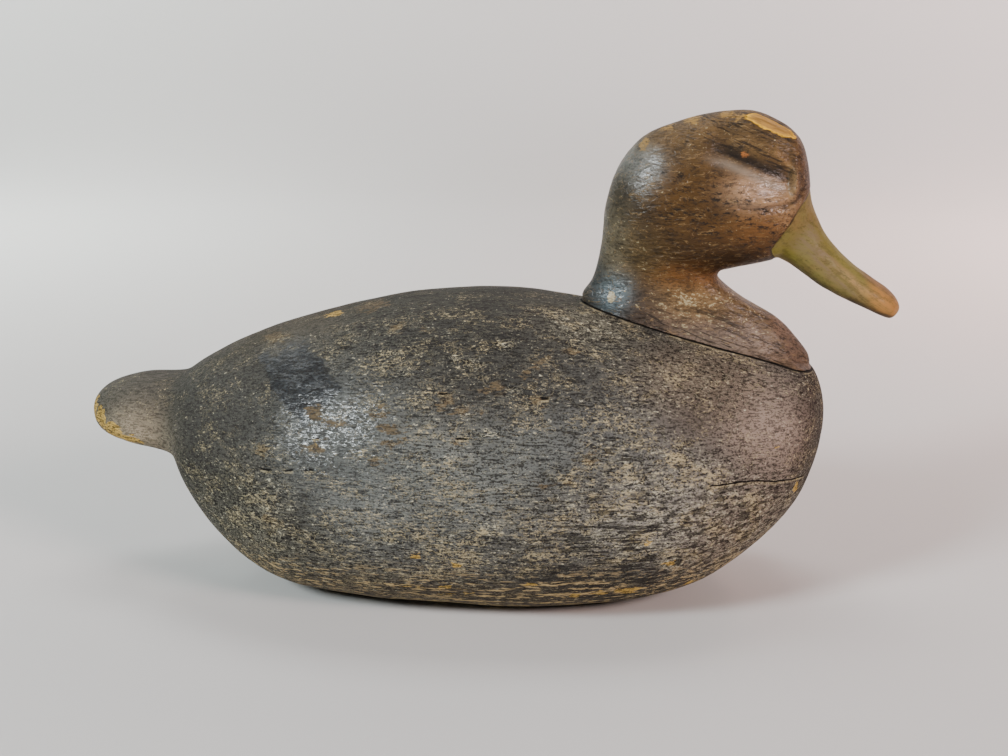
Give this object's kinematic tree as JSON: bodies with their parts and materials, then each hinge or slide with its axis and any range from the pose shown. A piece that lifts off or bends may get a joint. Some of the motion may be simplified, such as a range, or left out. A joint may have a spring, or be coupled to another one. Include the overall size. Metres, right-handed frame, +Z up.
{
  "type": "black duck decoy",
  "caption": "Carved wooden duck decoy with a full rounded body, paddle tail and a turned-down head on a sloping seam, in worn paint; rests on a flat underside.",
  "frame": {"origin": "on the flat underside, below the middle of the overall length from tail tip to bill tip", "axes": "+X forward to the bill, +Y to the bird's left, +Z up"},
  "size_m": [0.397, 0.17, 0.236],
  "materials": {
    "body_paint": "worn near-black paint over grey wood with raised grain, satin where handled",
    "head_paint": "worn dark brown paint with an olive green bill, satin"
  },
  "bodies": {
    "root": {"body": "body_paint", "head": "head_paint"}
  },
  "joints": []
}
